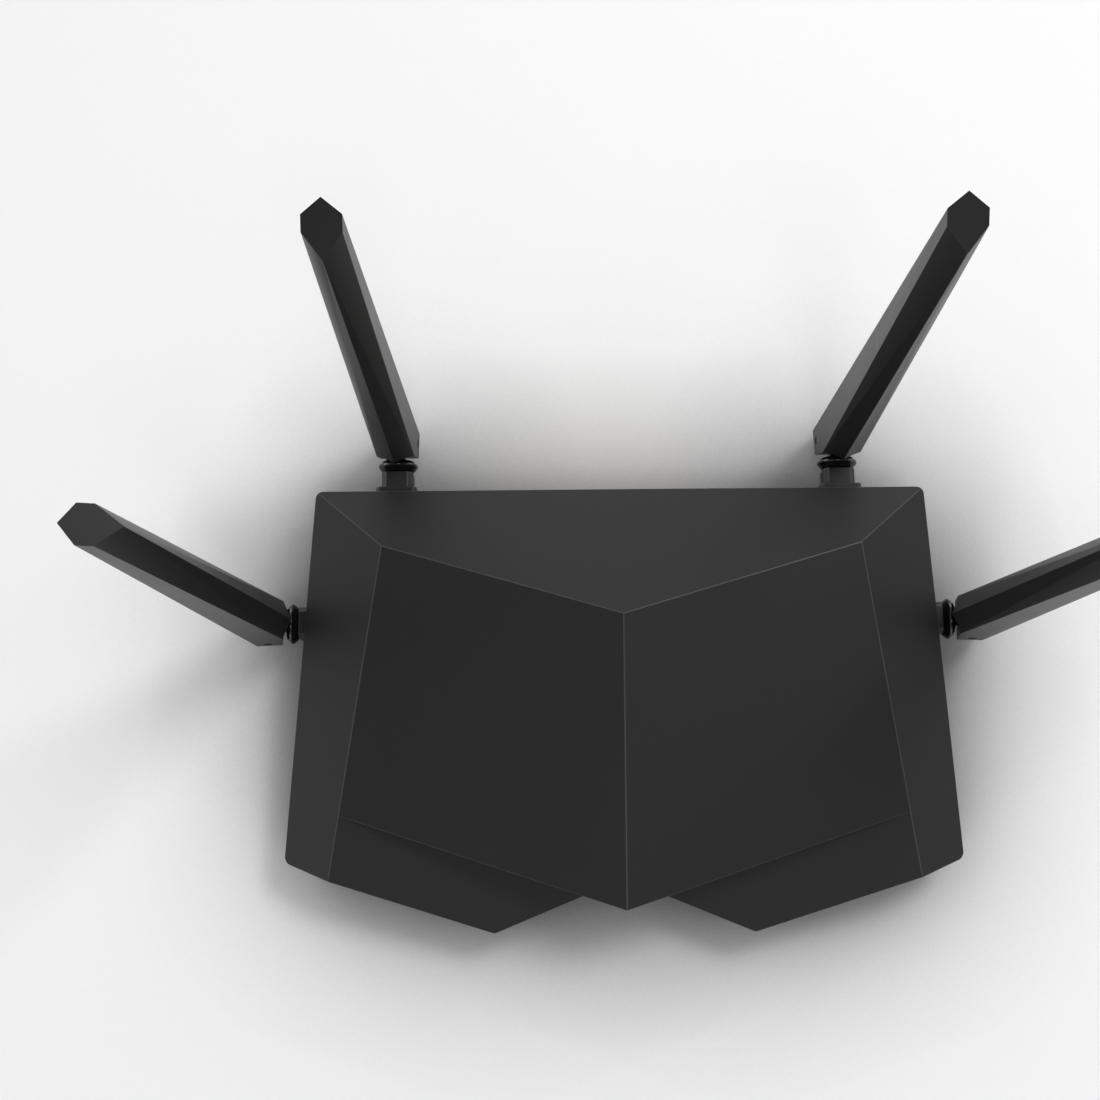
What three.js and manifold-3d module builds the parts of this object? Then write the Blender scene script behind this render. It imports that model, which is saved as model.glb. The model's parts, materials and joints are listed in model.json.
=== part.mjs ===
// Wireless router: a low faceted case on four rubber feet, with four folding antennas.
// Millimetres, +Z up. The ports and two antennas are on the +Y side, the pointed prow is on the -Y side.
// Every other place is worked out from the sizes below. The finished group is moved so that its origin
// is the middle of the bottom of its bounding box, with the antennas upright.

import * as THREE from 'three';
import { mergeVertices } from 'three/addons/utils/BufferGeometryUtils.js';
import Module from 'manifold-3d';

const wasm = await Module();
wasm.setup();

// ---------------------------------------------------------------- sizes of the case
const bodyWidth = 220;          // across the front corners of the cover
const bodyDepth = 143.2;        // from the rear edge to the tips of the two chevrons
const crestHeight = 47.5;       // top of the cover, where the ridge starts
const rearRimHeight = 30;       // edge of the cover above the ports
const cornerRimHeight = 18.9;   // edge of the cover at the front corners
const chevronHeight = 20;       // edge of the cover at the chevron tips
const sideTaper = 9.8;          // how much each side comes in from the front corner to the rear one
const crestSetback = 43.7;      // rear edge to crest
const prowSetback = 7.8;        // chevron tips back to the tip of the prow
const shoulderSetback = 37.4;   // chevron tips back to where the crown's front edge meets the side facet
const cornerSetback = 22.8;     // chevron tips back to the front corners
const chevronReach = 41.8;      // middle plane to a chevron tip
const notchDepth = 16.9;        // chevron tips back to the inner corner of the notch
const ridgeFall = 0.1;          // slope of the ridge towards the prow
const crownPitch = 0.154;       // slope of a crown facet away from the ridge
const sidePitch = 0.4026;       // slope of a side facet
const rearDraft = 2;            // degrees that each wall leans in towards the floor
const sideDraft = 20;
const frontDraft = 9.7;
const notchDraft = 8;
const cornerRadius = 3.4;       // upright corners of the case
const tipRadius = 3;            // chevron tips
const wall = 2;                 // thickness of the cover and the case
const lip = 1.6;                // how far the cover turns down below its edge
const seam = 0.35;              // open line between cover and case
const fitGap = 0.3;             // clearance between pieces that touch or seat

// ---------------------------------------------------------------- sizes of the feet, screws and board
const footHeight = 2.2;         // underside of the case above the table
const footRadius = 6;
const footRecess = 0.9;
const footInset = 14;           // edge of the floor to a foot's centre
const screwRadius = 1.3;
const screwHeadRadius = 2.6;
const screwHeadHeight = 1.5;
const screwLength = 9;
const bossRadius = 3.2;
const bossInset = 8;            // inner face of the side wall to a boss's centre
const rearBossSetback = 32;
const frontBossSetback = 33;
const standoffHeight = 3;
const standoffRadius = 3;
const standoffPin = 1.2;        // radius of the peg that the board drops over
const boardThickness = 1.6;
const boardMargin = 4;          // boss to the edge of the board
const boardRearGap = 5;         // rear edge of the cover to the board
const boardFrontGap = 40;       // chevron tips to the board
const cpuSize = [34, 32, 3.4];  // width, depth and height of a shield can
const cpuGap = 10.5;            // transformers forward to the middle shield can
const radioSize = [26, 40, 3.4];
const radioGap = 5;             // between shield cans, and from a can to its antenna plugs
const radioShift = 2;
const sinkInset = 3;            // edge of the shield can to the heat sink
const sinkBase = 1.6;
const finCount = 6;
const finThickness = 1.2;
const finHeight = 5;
const transformerSize = [15, 12, 5.5];
const transformerGap = 3;       // jack to transformer
const capacitorRadius = 4;
const capacitorHeight = 11;
const capacitorGap = 4;         // inlet to capacitor
const ventLength = 26;
const ventWidth = 2.2;
const ventPitch = 5.5;
const ventCount = 7;
const ventSetback = 16.5;       // crest forward to the middle vent
const ventReach = 0.6;          // share of the board's half width out to a vent's middle
const labelWidth = 56;
const labelDepth = 30;
const labelThickness = 0.3;

// ---------------------------------------------------------------- sizes of the ports and buttons
const jackWidth = 16;
const jackHeight = 13.4;
const jackDepth = 20;
const mouthWidth = 11.9;
const mouthHeight = 7;
const mouthFloor = 4.2;         // underside of a jack to its mouth
const mouthDepth = 13;
const latchWidth = 6;
const latchHeight = 2.6;
const inletWidth = 9.6;
const inletHeight = 11;
const inletDepth = 14;
const inletBore = 3.1;
const inletBoreDepth = 9.5;
const inletPin = 0.95;
const buttonWidth = 6.4;
const buttonHeight = 3.4;
const buttonTravel = 0.6;
const buttonProud = 0.8;
const buttonLevel = 15;         // height of the buttons' centres
const buttonFlange = 1;
const flangeRelief = 0.2;       // flange clear of the leaning wall
const buttonDepth = 5.2;
const switchSize = 6;
const switchDepth = 4;
const portMargin = 3;           // antenna flange to the nearest port
const portSetback = 0.6;        // rear edge of the cover to the faces of the ports
const windowLength = 26;
const windowHeight = 2.6;
const windowReach = 21;         // middle plane to a window's centre
const windowRecess = 0.4;       // face of the window behind the chin
const windowBehind = 1;         // how far a window stands inside the wall

// ---------------------------------------------------------------- sizes of the antennas
const hingeHeight = 17;         // swivel axis above the table
const rearAntennaInset = 25.8;  // rear corner to a rear antenna's swivel axis
const rearAntennaReach = 10.7;  // rear edge to the middle of the swivel disc
const sideAntennaSetback = 42.4;
const sideAntennaReach = 5;     // side edge to the middle of the swivel disc
const discRadius = 6.65;
const discThickness = 3.8;
const discChamfer = 1.3;        // round edge of the disc, in two flats
const discBend = 0.4;           // where the two flats meet, in from the rim
const discBendDepth = 0.5;      // and down from the face
const collarWidth = 10.4;
const collarChamfer = 1.6;
const collarLength = 5.6;
const flangeWidth = 13.6;
const flangeChamfer = 1;
const shaftRadius = 2.7;
const spigotRadius = 4.2;
const spigotInside = 3;         // how far the spigot stands inside the wall
const snapRadius = 3.5;
const snapLength = 1.5;
const snapChamfer = 0.5;
const coaxRadius = 0.65;
const pinRadius = 1.15;
const pinReach = 8.8;           // middle of the disc out to the tilt pin
const pinDrop = 1.5;            // swivel axis down to the tilt pin
const tongueWidth = 4.6;
const tongueRadius = 3.2;
const pinRecess = 0.15;         // pin's end below the blade's side
const bladeClearance = 0.4;     // disc and tongue to the blade
const lean = 1.37;              // degrees that an upright blade leans out
const bladeLength = 174.8;      // tilt pin to the tip, measured along the pin's plane
const tipSlope = 0.374;
const bladeWall = 1.3;
const bladeHollowStart = 17;
const bladeEnd = 3;             // solid plastic left at the tip, all of it on the inner shell
// Where the blade's edges are at its base and at its tip: the ridges in the middle of its inner and outer
// sides, and both edges of its flat sides, measured outwards from the tilt pin.
const bladeBase = {
  height: 8.5, halfWidth: 6.375, innerRidge: -10.85, sideInner: -7.27, sideOuter: 5.09, outerRidge: 8.75,
};
const bladeTip = {
  height: bladeLength,
  halfWidth: 4.874,
  innerRidge: -3.79,
  sideInner: 2.13,
  sideOuter: 5.97,
  outerRidge: 9.65,
};
const heel = { inner: -4.3, level: -3.1, slope: 0.258 };  // the blade's underside, outside the disc
const brow = { outer: -7.5, level: 12.6, slope: 0.8 };    // the blade's underside, above the disc
const radiatorWidth = 6.4;
const radiatorLength = 118;
const radiatorStart = 20;
const radiatorThickness = 0.8;
const radiatorPlace = 3;        // tilt pin out to the middle of the strip
const plugRadius = 1.5;         // coaxial plug on the board
const plugHeight = 1.6;
const plugInset = 21.4;         // rear antenna in to its plug
const leadStraight = 4;         // lead's straight run inside the case before it bends
const leadRise = 5;             // board up to where the lead turns down to its plug

// ---------------------------------------------------------------- colours
const finish = {
  cover: { color: 0x2f2f30, roughness: 0.55, metalness: 0 },
  case: { color: 0x2a2a2b, roughness: 0.6, metalness: 0 },
  antenna: { color: 0x252526, roughness: 0.5, metalness: 0 },
  gloss: { color: 0x101011, roughness: 0.15, metalness: 0 },
  rubber: { color: 0x1d1d1d, roughness: 0.9, metalness: 0 },
  board: { color: 0x1d5a34, roughness: 0.5, metalness: 0 },
  shield: { color: 0xb9bbbd, roughness: 0.35, metalness: 1 },
  heatSink: { color: 0x9a9da0, roughness: 0.4, metalness: 1 },
  steel: { color: 0xa8a9aa, roughness: 0.3, metalness: 1 },
  wanJack: { color: 0x2a63a8, roughness: 0.5, metalness: 0 },
  lanJack: { color: 0xd8b12c, roughness: 0.5, metalness: 0 },
  darkPart: { color: 0x18181a, roughness: 0.5, metalness: 0 },
  coax: { color: 0x3a3a3c, roughness: 0.6, metalness: 0 },
  window: { color: 0xc9ced2, roughness: 0.3, metalness: 0 },
  label: { color: 0xd9d9d6, roughness: 0.6, metalness: 0 },
};

// ---------------------------------------------------------------- solids from geometries
const farAway = 500;
const fineSides = 20;           // sides of round pieces, large to small
const roundSides = 16;
const smallSides = 12;

function solidFrom(geometry) {
  const bare = geometry.index ? geometry.toNonIndexed() : geometry.clone();
  bare.deleteAttribute('normal');
  bare.deleteAttribute('uv');
  const merged = mergeVertices(bare, 1e-5);
  const corners = merged.index.array;
  const triangles = [];
  for (let i = 0; i < corners.length; i += 3) {
    const [a, b, c] = corners.slice(i, i + 3);
    if (a !== b && b !== c && c !== a) triangles.push(a, b, c);
  }
  return new wasm.Manifold(new wasm.Mesh({
    numProp: 3,
    vertProperties: new Float32Array(merged.attributes.position.array),
    triVerts: new Uint32Array(triangles),
  }));
}

function geometryFrom(solid) {
  const mesh = solid.getMesh();
  const geometry = new THREE.BufferGeometry();
  geometry.setAttribute('position', new THREE.BufferAttribute(mesh.vertProperties, 3));
  geometry.setIndex(new THREE.BufferAttribute(mesh.triVerts, 1));
  geometry.computeVertexNormals();
  return geometry;
}

function piece(name, solid, look) {
  const mesh = new THREE.Mesh(geometryFrom(solid), new THREE.MeshStandardMaterial(finish[look]));
  mesh.name = name;
  return mesh;
}

const point = (x, y, z) => new THREE.Vector3(x, y, z);
const mirrored = (p, side) => point(p.x * side, p.y, p.z);

// The two ends of a length laid evenly about a middle.
const around = (middle, length) => [middle - length / 2, middle + length / 2];

// A box between two corners, given as [low, high] along each axis.
function box([x0, x1], [y0, y1], [z0, z1]) {
  const geometry = new THREE.BoxGeometry(x1 - x0, y1 - y0, z1 - z0);
  return solidFrom(geometry.translate((x0 + x1) / 2, (y0 + y1) / 2, (z0 + z1) / 2));
}

// A cylinder whose axis runs along 'x', 'y' or 'z' from low to high through the given centre.
function rod(radius, axis, [low, high], centre, sides = fineSides) {
  const geometry = new THREE.CylinderGeometry(radius, radius, high - low, sides);
  geometry.translate(0, (low + high) / 2, 0);
  if (axis === 'x') geometry.rotateZ(-Math.PI / 2);
  if (axis === 'z') geometry.rotateX(Math.PI / 2);
  return solidFrom(geometry.translate(centre.x, centre.y, centre.z));
}

// Everything on the outer side of a plane, as a large block.
function outside(plane) {
  const geometry = new THREE.BoxGeometry(farAway, farAway, farAway);
  geometry.translate(0, 0, farAway / 2);
  geometry.applyQuaternion(new THREE.Quaternion().setFromUnitVectors(point(0, 0, 1), plane.normal));
  const foot = plane.normal.clone().multiplyScalar(-plane.constant);
  return solidFrom(geometry.translate(foot.x, foot.y, foot.z));
}

const trim = (solid, planes) => planes.reduce((left, plane) => left.subtract(outside(plane)), solid);
const common = (planes) => planes.map(outside).reduce((a, b) => a.intersect(b));
const joined = (solids) => solids.reduce((a, b) => a.add(b));
const inward = (plane, distance) => new THREE.Plane(plane.normal.clone(), plane.constant + distance);

// A plane through three points, whose normal points away from a point inside.
function facet(a, b, c, inside) {
  const plane = new THREE.Plane().setFromCoplanarPoints(a, b, c);
  return plane.distanceToPoint(inside) > 0 ? plane.negate() : plane;
}

// A wall through two points of the edge that leans inwards, by draft degrees, towards the floor.
function leaningWall(a, b, draft, inside) {
  const along = b.clone().sub(a).setZ(0).normalize();
  const across = point(along.y, -along.x, 0);
  if (across.dot(inside.clone().sub(a)) < 0) across.negate();
  const down = across.multiplyScalar(Math.tan(THREE.MathUtils.degToRad(draft))).setZ(-1);
  return facet(a, b, a.clone().add(down), inside);
}

// Planes tangent to a round corner between two planes.
function roundCorner(first, second, radius, corner, count = 3) {
  const cosine = first.normal.dot(second.normal);
  const sum = first.normal.clone().add(second.normal);
  const centre = corner.clone().addScaledVector(sum, -radius / (1 + cosine));
  const planes = [];
  for (let i = 1; i <= count; i += 1) {
    const normal = first.normal.clone().lerp(second.normal, i / (count + 1)).normalize();
    const onSurface = centre.clone().addScaledVector(normal, radius);
    planes.push(new THREE.Plane().setFromNormalAndCoplanarPoint(normal, onSurface));
  }
  return planes;
}

// ---------------------------------------------------------------- outer form of the case
const halfWidth = bodyWidth / 2;
const rearY = bodyDepth / 2;
const frontY = -bodyDepth / 2;
const rearHalf = halfWidth - sideTaper;
const crestY = rearY - crestSetback;
const cornerY = frontY + cornerSetback;
const shoulderY = frontY + shoulderSetback;
const sideFall = (rearRimHeight - cornerRimHeight - sidePitch * sideTaper) / (rearY - cornerY);
const heart = point(0, 0, (footHeight + chevronHeight) / 2);

const sideTop = (x, y) => rearRimHeight - sidePitch * (x - rearHalf) - sideFall * (rearY - y);
const crownTop = (x, y) => crestHeight - ridgeFall * (crestY - y) - crownPitch * x;

// The crease between a side facet and a crown facet: where both have the same height.
function crease(y) {
  const rise = rearRimHeight + sidePitch * rearHalf - sideFall * (rearY - y) - crownTop(0, y);
  const x = rise / (sidePitch - crownPitch);
  return point(x, y, sideTop(x, y));
}

function formPoints(side) {
  const rearCorner = point(side * rearHalf, rearY, rearRimHeight);
  const frontCorner = point(side * halfWidth, cornerY, cornerRimHeight);
  const shoulder = mirrored(crease(shoulderY), side);
  const upperCrease = mirrored(crease(crestY), side);
  const chevron = point(side * chevronReach, frontY, chevronHeight);
  const lower = facet(shoulder, upperCrease, chevron, heart);
  const notchFoot = point(0, frontY + notchDepth, 0);
  const upright = new THREE.Line3(notchFoot, notchFoot.clone().setZ(2 * crestHeight));
  const notch = lower.intersectLine(upright, point(0, 0, 0));
  const prow = point(0, frontY + prowSetback, crownTop(0, frontY + prowSetback));
  return { rearCorner, frontCorner, shoulder, upperCrease, chevron, lower, notch, prow };
}

function formPlanes(side) {
  const p = formPoints(side);
  const crest = point(0, crestY, crestHeight);
  const otherRear = mirrored(p.rearCorner, -1);
  const planes = {
    rearFacet: facet(p.rearCorner, otherRear, crest, heart),
    sideFacet: facet(p.rearCorner, p.frontCorner, p.shoulder, heart),
    crownFacet: facet(crest, p.prow, p.shoulder, heart),
    lowerFacet: p.lower,
    chin: facet(p.shoulder, p.prow, p.notch, heart),
    rearWall: leaningWall(p.rearCorner, otherRear, rearDraft, heart),
    sideWall: leaningWall(p.rearCorner, p.frontCorner, sideDraft, heart),
    frontWall: leaningWall(p.frontCorner, p.chevron, frontDraft, heart),
    notchWall: leaningWall(p.chevron, p.notch, notchDraft, point(side * chevronReach, 0, heart.z)),
  };
  const rounded = [
    ...roundCorner(planes.rearWall, planes.sideWall, cornerRadius, p.rearCorner),
    ...roundCorner(planes.sideWall, planes.frontWall, cornerRadius, p.frontCorner),
  ];
  const tip = roundCorner(planes.frontWall, planes.notchWall, tipRadius, p.chevron);
  return { ...planes, rounded, tip };
}

const sides = [1, -1];
const form = new Map(sides.map((side) => [side, formPlanes(side)]));

// The whole outer form, with every face moved inwards by a distance.
function bodySolid(distance) {
  const moved = (name) => sides.map((side) => inward(form.get(side)[name], distance));
  const everywhere = [-farAway / 2, farAway / 2];
  let solid = box(everywhere, everywhere, [footHeight + distance, 2 * crestHeight]);
  for (const side of sides) {
    const { rearFacet, sideFacet, crownFacet, rearWall, sideWall, frontWall, rounded } = form.get(side);
    const planes = [sideFacet, crownFacet, sideWall, frontWall, ...rounded];
    if (side === 1) planes.push(rearFacet, rearWall);
    solid = trim(solid, planes.map((plane) => inward(plane, distance)));
  }
  const openAbove = common(moved('lowerFacet')).add(common(moved('notchWall')));
  const inFront = joined(moved('chin').map(outside));
  solid = solid.subtract(openAbove.intersect(inFront));
  for (const side of sides) {
    const local = new THREE.Plane(point(side, 0, 0), -chevronReach / 2);
    for (const plane of form.get(side).tip) {
      solid = solid.subtract(common([inward(plane, distance), local]));
    }
  }
  return solid;
}

// Everything below a surface that runs a given depth under the edge of the cover, out to well past it.
function belowEdge(depth) {
  const edge = [];
  for (const side of sides) {
    const p = formPoints(side);
    const front = new THREE.Line3(p.shoulder, p.shoulder.clone().multiplyScalar(2).sub(p.upperCrease));
    const bend = form.get(side).frontWall.intersectLine(front, point(0, 0, 0));
    const run = [p.rearCorner, p.frontCorner, bend, p.chevron];
    edge.push(...(side === 1 ? [...run, p.notch] : run.reverse()));
  }
  const centre = point(0, 0, chevronHeight - depth);
  const spread = 1.5;           // times the size of the edge's outline
  const top = edge.map((p) => p.clone().setZ(p.z - depth).sub(centre).multiplyScalar(spread).add(centre));
  const low = top.map((p) => p.clone().setZ(-farAway / 4));
  const lowCentre = centre.clone().setZ(-farAway / 4);
  const corners = [];
  top.forEach((a, i) => {
    const j = (i + 1) % top.length;
    corners.push(centre, top[j], a, lowCentre, low[i], low[j]);
    corners.push(a, top[j], low[j], a, low[j], low[i]);
  });
  return solidFrom(new THREE.BufferGeometry().setFromPoints(corners));
}

// ---------------------------------------------------------------- places inside the case
const floorTop = footHeight + wall;
const boardBottom = floorTop + standoffHeight + fitGap;
const boardTop = boardBottom + boardThickness;
const partBase = boardTop + fitGap;

// Where the face of a side wall, moved in by a distance, crosses a given depth and height.
function sideWallX(y, z, distance) {
  const { normal, constant } = inward(form.get(1).sideWall, distance);
  return -(constant + normal.y * y + normal.z * z) / normal.x;
}

// The same for the rear wall.
function rearWallY(z, distance) {
  const { normal, constant } = inward(form.get(1).rearWall, distance);
  return -(constant + normal.z * z) / normal.y;
}

const rearBossY = rearY - rearBossSetback;
const frontBossY = frontY + frontBossSetback;
const rearBossX = sideWallX(rearBossY, floorTop, wall) - bossInset;
const frontBossX = sideWallX(frontBossY, floorTop, wall) - 2 * bossInset;
const bossPlaces = sides.flatMap((side) => [
  point(side * rearBossX, rearBossY, 0),
  point(side * frontBossX, frontBossY, 0),
]);
const boardHalf = Math.min(rearBossX, frontBossX) - bossRadius - boardMargin;
const boardRear = rearY - boardRearGap;
const boardFront = frontY + boardFrontGap;
const standoffPlaces = sides.flatMap((side) => [
  point(side * (boardHalf - 2 * standoffRadius), boardRear - 4 * standoffRadius, 0),
  point(side * (boardHalf - 2 * standoffRadius), boardFront + 2 * standoffRadius, 0),
]);
const footPlaces = sides.flatMap((side) => [
  point(side * (sideWallX(rearY, footHeight, 0) - footInset), rearY - footInset, 0),
  point(side * (chevronReach + footInset), cornerY + footInset / 2, 0),
]);
const footNames = ['foot_rear_right', 'foot_front_right', 'foot_rear_left', 'foot_front_left'];
const screwNames = ['case_screw_1', 'case_screw_2', 'case_screw_3', 'case_screw_4'];

// ---------------------------------------------------------------- antenna places
const rearAntennaX = rearHalf - rearAntennaInset;
const sideAntennaY = rearY - sideAntennaSetback;
const sideEdgeX = rearHalf + sideTaper * sideAntennaSetback / (rearY - cornerY);
const antennas = [
  { name: 'rear_left', at: point(-rearAntennaX, rearY + rearAntennaReach, hingeHeight), turn: 0 },
  { name: 'rear_right', at: point(rearAntennaX, rearY + rearAntennaReach, hingeHeight), turn: 0 },
  { name: 'side_left', at: point(-sideEdgeX - sideAntennaReach, sideAntennaY, hingeHeight), turn: 90 },
  { name: 'side_right', at: point(sideEdgeX + sideAntennaReach, sideAntennaY, hingeHeight), turn: -90 },
];
const rearWallDistance = rearY + rearAntennaReach - rearWallY(hingeHeight, 0);
const sideWallDistance = sideEdgeX + sideAntennaReach - sideWallX(sideAntennaY, hingeHeight, 0);
for (const antenna of antennas) {
  antenna.wallDistance = antenna.turn ? sideWallDistance : rearWallDistance;
}
const wallHole = spigotRadius + fitGap;
const leadPlugX = rearAntennaX - plugInset;
const spigotEnd = (antenna) => antenna.wallDistance + wall + spigotInside;

// Puts a solid made in an antenna's own frame, where +Y points out of the wall, into the case's frame.
function placed(solid, antenna) {
  return solid.rotate([0, 0, antenna.turn]).translate(antenna.at.toArray());
}

// ---------------------------------------------------------------- places of the ports
const jackNames = ['wan_jack', 'lan_jack_1', 'lan_jack_2', 'lan_jack_3'];
const portNames = ['dc_jack', ...jackNames, 'reset_button', 'wifi_button'];
const portWidths = [inletWidth, ...jackNames.map(() => jackWidth), buttonWidth, buttonWidth];
const portSpan = 2 * (rearAntennaX - flangeWidth / 2 - portMargin);
const portSpace = (portSpan - portWidths.reduce((a, b) => a + b)) / (portWidths.length - 1);
const portPlaces = {};
let portEdge = portSpan / 2;
portNames.forEach((name, i) => {
  portPlaces[name] = portEdge - portWidths[i] / 2;
  portEdge -= portWidths[i] + portSpace;
});
const portFace = rearY - portSetback;

// ---------------------------------------------------------------- cover and case
const outerForm = bodySolid(0);
const cavity = bodySolid(wall);
const shell = outerForm.subtract(cavity);

// A status window's block, in the plane of a chin, between two levels along the chin's normal and grown by
// a gap on every side.
function windowSolid(side, gap, outerLevel, innerLevel) {
  const { chin } = form.get(side);
  const p = formPoints(side);
  const edge = p.shoulder.clone().sub(p.prow);
  const footLine = p.shoulder.clone().sub(p.notch);
  const share = windowReach / Math.abs(p.shoulder.x);
  const upper = p.prow.clone().addScaledVector(edge, share);
  const lower = p.notch.clone().addScaledVector(footLine, share);
  const along = edge.normalize();
  const across = chin.normal.clone().cross(along);
  const thickness = outerLevel - innerLevel;
  const geometry = new THREE.BoxGeometry(windowLength + 2 * gap, windowHeight + 2 * gap, thickness);
  geometry.applyMatrix4(new THREE.Matrix4().makeBasis(along, across, chin.normal));
  const centre = upper.lerp(lower, 0.5).addScaledVector(chin.normal, (outerLevel + innerLevel) / 2);
  return solidFrom(geometry.translate(centre.x, centre.y, centre.z));
}

function makeCover() {
  let solid = shell.subtract(belowEdge(lip));
  const roomInside = bodySolid(wall / 2);
  for (const place of bossPlaces) {
    const post = rod(bossRadius, 'z', [floorTop + fitGap, crestHeight], place, roundSides);
    const pilot = [0, footHeight + screwLength + 2 * fitGap];
    solid = solid.add(post.intersect(roomInside));
    solid = solid.subtract(rod(screwRadius + fitGap, 'z', pilot, place, smallSides));
  }
  for (const side of sides) solid = solid.subtract(windowSolid(side, fitGap, wall, -2 * wall));
  return solid;
}

function makeCase() {
  let solid = shell.intersect(belowEdge(lip + seam));
  for (const place of standoffPlaces) {
    const standoff = [floorTop - wall / 2, floorTop + standoffHeight];
    solid = solid.add(rod(standoffRadius, 'z', standoff, place, smallSides));
    solid = solid.add(rod(standoffPin, 'z', [floorTop, boardTop], place, smallSides));
  }
  for (const place of bossPlaces) {
    const sink = [0, footHeight + screwHeadHeight / 2];
    solid = solid.subtract(rod(screwRadius + fitGap, 'z', [0, floorTop + fitGap], place, smallSides));
    solid = solid.subtract(rod(screwHeadRadius + fitGap, 'z', sink, place, smallSides));
  }
  for (const place of footPlaces) {
    solid = solid.subtract(rod(footRadius + fitGap, 'z', [0, footHeight + footRecess], place, roundSides));
  }
  for (const side of sides) {
    for (let i = 0; i < ventCount; i += 1) {
      const y = crestY - ventSetback - (i - (ventCount - 1) / 2) * ventPitch;
      const x = side * boardHalf * ventReach;
      solid = solid.subtract(box(around(x, ventLength), around(y, ventWidth), [0, floorTop + fitGap]));
    }
  }
  for (const antenna of antennas) {
    const hole = rod(wallHole, 'y', [-spigotEnd(antenna), -discThickness], point(0, 0, 0));
    solid = solid.subtract(placed(hole, antenna));
  }
  const wallCut = [rearWallY(boardTop, wall) - wall, rearY + wall];
  const onBoard = (height) => [partBase - fitGap, partBase + height + fitGap];
  const openings = { dc_jack: onBoard(inletHeight) };
  for (const name of ['reset_button', 'wifi_button']) {
    openings[name] = around(buttonLevel, buttonHeight + 2 * fitGap);
  }
  portNames.forEach((name, i) => {
    const width = around(portPlaces[name], portWidths[i] + 2 * fitGap);
    solid = solid.subtract(box(width, wallCut, openings[name] ?? onBoard(jackHeight)));
  });
  return solid;
}

// ---------------------------------------------------------------- ports, buttons and board
function makeJack(x) {
  const heights = [partBase, partBase + jackHeight];
  const body = box(around(x, jackWidth), [portFace - jackDepth, portFace], heights);
  const base = partBase + mouthFloor;
  const depth = [portFace - mouthDepth, rearY + wall];
  const mouth = box(around(x, mouthWidth), depth, [base, base + mouthHeight]);
  const latch = box(around(x, latchWidth), depth, [base - latchHeight, base + mouthHeight / 2]);
  return body.subtract(mouth).subtract(latch);
}

function makeInlet(x) {
  const heights = [partBase, partBase + inletHeight];
  const body = box(around(x, inletWidth), [portFace - inletDepth, portFace], heights);
  const centre = point(x, 0, partBase + inletHeight / 2);
  const boreEnd = portFace - inletBoreDepth;
  const bore = rod(inletBore, 'y', [boreEnd, rearY + wall], centre);
  const pin = rod(inletPin, 'y', [boreEnd - wall, portFace - wall / 2], centre, smallSides);
  return body.subtract(bore).add(pin);
}

const buttonOuter = rearWallY(buttonLevel, 0) + buttonProud;
const buttonStop = rearWallY(buttonLevel, wall) - fitGap;
const buttonInner = buttonStop - buttonDepth;

function makeButton(x) {
  const cap = box(around(x, buttonWidth), [buttonInner, buttonOuter], around(buttonLevel, buttonHeight));
  const spread = 2 * (2 * fitGap + buttonFlange / 2);
  const flange = box(
    around(x, buttonWidth + spread),
    [buttonStop - buttonFlange - flangeRelief, buttonStop - flangeRelief],
    around(buttonLevel, buttonHeight + spread),
  );
  return cap.add(flange);
}

function makeSwitch(x) {
  const face = buttonInner - buttonTravel - fitGap;
  const heights = [partBase, buttonLevel + switchSize / 2];
  const body = box(around(x, switchSize), [face - switchDepth, face - wall / 2], heights);
  return body.add(rod(wall / 2, 'y', [face - wall, face], point(x, 0, buttonLevel), smallSides));
}

function makeBoard() {
  let solid = box([-boardHalf, boardHalf], [boardFront, boardRear], [boardBottom, boardTop]);
  for (const place of standoffPlaces) {
    solid = solid.subtract(rod(standoffPin + fitGap, 'z', [0, crestHeight], place, smallSides));
  }
  return solid;
}

function blockOnBoard([x, y], [width, depth, height]) {
  return box(around(x, width), around(y, depth), [partBase, partBase + height]);
}

const transformerY = portFace - jackDepth - transformerGap - transformerSize[1] / 2;
const cpuPlace = [0, transformerY - transformerSize[1] / 2 - cpuGap - cpuSize[1] / 2];
const radioPlace = [leadPlugX - radioGap - radioSize[0] / 2, cpuPlace[1] - radioShift];

function makeHeatSink() {
  const base = partBase + cpuSize[2] + fitGap;
  const [x, y] = cpuPlace;
  const width = cpuSize[0] - 2 * sinkInset;
  const plate = box(around(x, width), around(y, width), [base, base + sinkBase]);
  const pitch = (width - finThickness) / (finCount - 1);
  const finSpan = [base + sinkBase / 2, base + sinkBase + finHeight];
  const fins = [];
  for (let i = 0; i < finCount; i += 1) {
    const finX = x + (i - (finCount - 1) / 2) * pitch;
    fins.push(box(around(finX, finThickness), around(y, width), finSpan));
  }
  return joined([plate, ...fins]);
}

// ---------------------------------------------------------------- antennas
// A square with its corners cut, extruded along +Y from low to high.
function chamferedBar(width, chamfer, low, high) {
  const half = width / 2;
  const cut = half - chamfer;
  const corner = [[half, cut], [cut, half]];
  const outline = [0, 1, 2, 3].flatMap((turn) => corner.map(([x, z]) => (
    new THREE.Vector2(x, z).rotateAround(new THREE.Vector2(), turn * Math.PI / 2)
  )));
  const shape = new THREE.Shape(outline);
  const geometry = new THREE.ExtrudeGeometry(shape, { depth: high - low, bevelEnabled: false });
  return solidFrom(geometry.rotateX(-Math.PI / 2).translate(0, low, 0));
}

const discFront = discThickness / 2;
const collarEnd = -discFront - fitGap;
const flangeEnd = collarEnd - collarLength;
const caseWithGap = bodySolid(-fitGap);

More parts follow.
